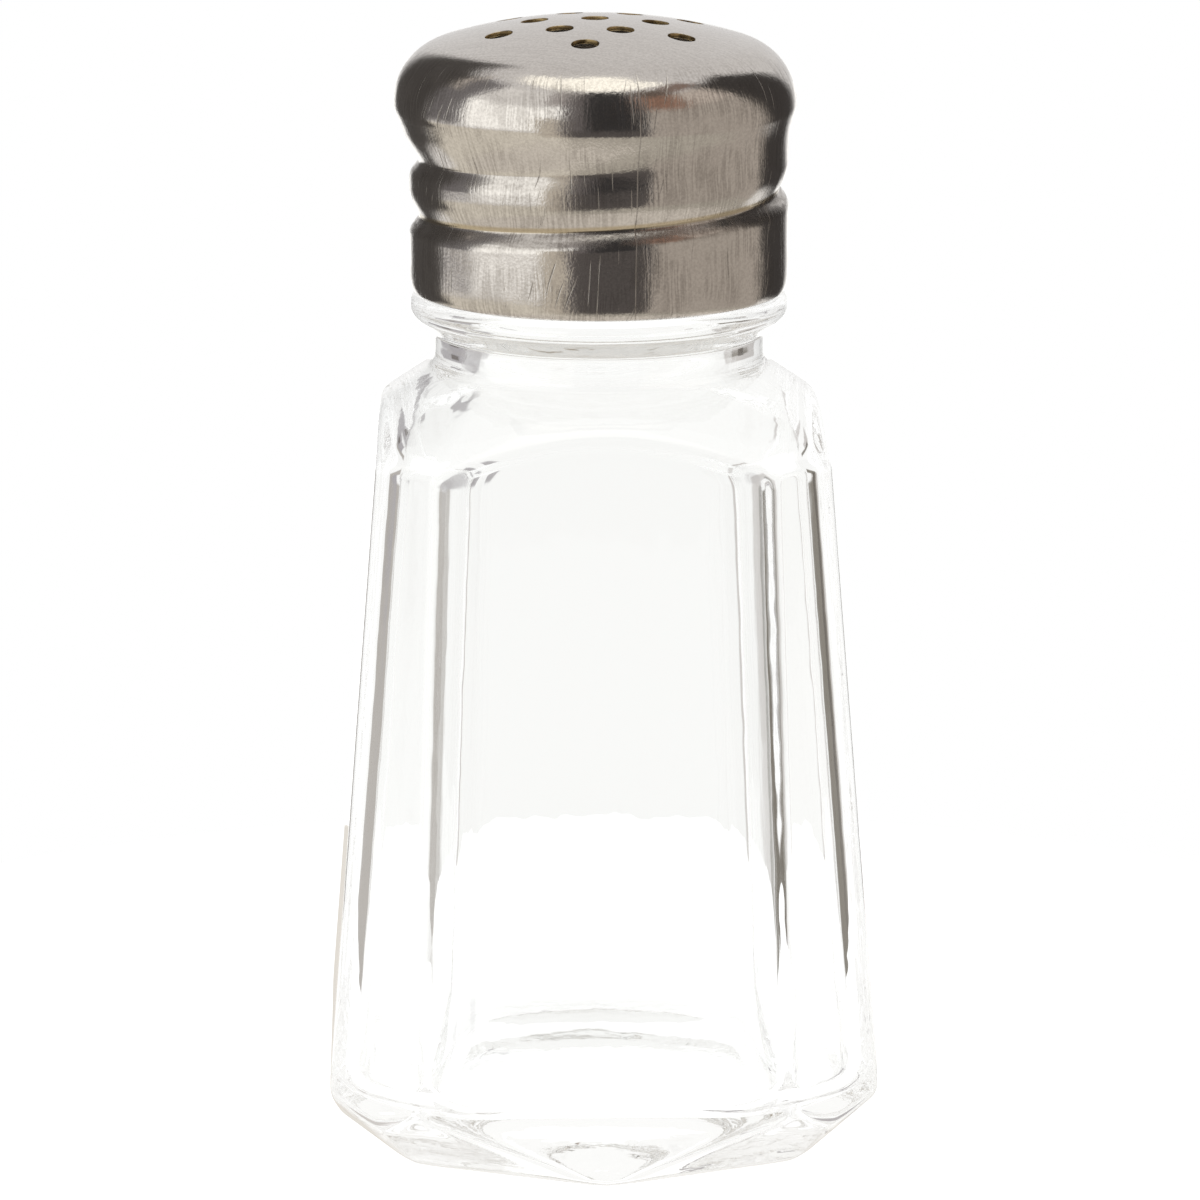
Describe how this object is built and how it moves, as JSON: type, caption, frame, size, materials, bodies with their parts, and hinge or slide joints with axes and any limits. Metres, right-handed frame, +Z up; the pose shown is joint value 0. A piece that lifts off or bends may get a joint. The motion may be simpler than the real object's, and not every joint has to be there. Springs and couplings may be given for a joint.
{
  "type": "table shaker",
  "caption": "Paneled glass table shaker with a domed steel screw cap pierced by small sprinkle holes; the cap lifts off the neck.",
  "frame": {"origin": "on the table under the centre of the foot", "axes": "+Z up along the axis of the jar and cap; the wide panels face +X, -X, +Y and -Y, with -Y towards the camera"},
  "size_m": [0.0496, 0.0496, 0.1012],
  "materials": {
    "clear_glass": "polished",
    "cap_steel": "satin, with fine upright draw lines"
  },
  "bodies": {
    "jar": {"glass_jar": "clear_glass"},
    "cap": {"shaker_cap": "cap_steel"}
  },
  "joints": [
    {"name": "cap_lift", "type": "slide", "parent": "jar", "child": "cap", "axis": [0, 0, 1], "range_m": [0, 0.022]}
  ]
}
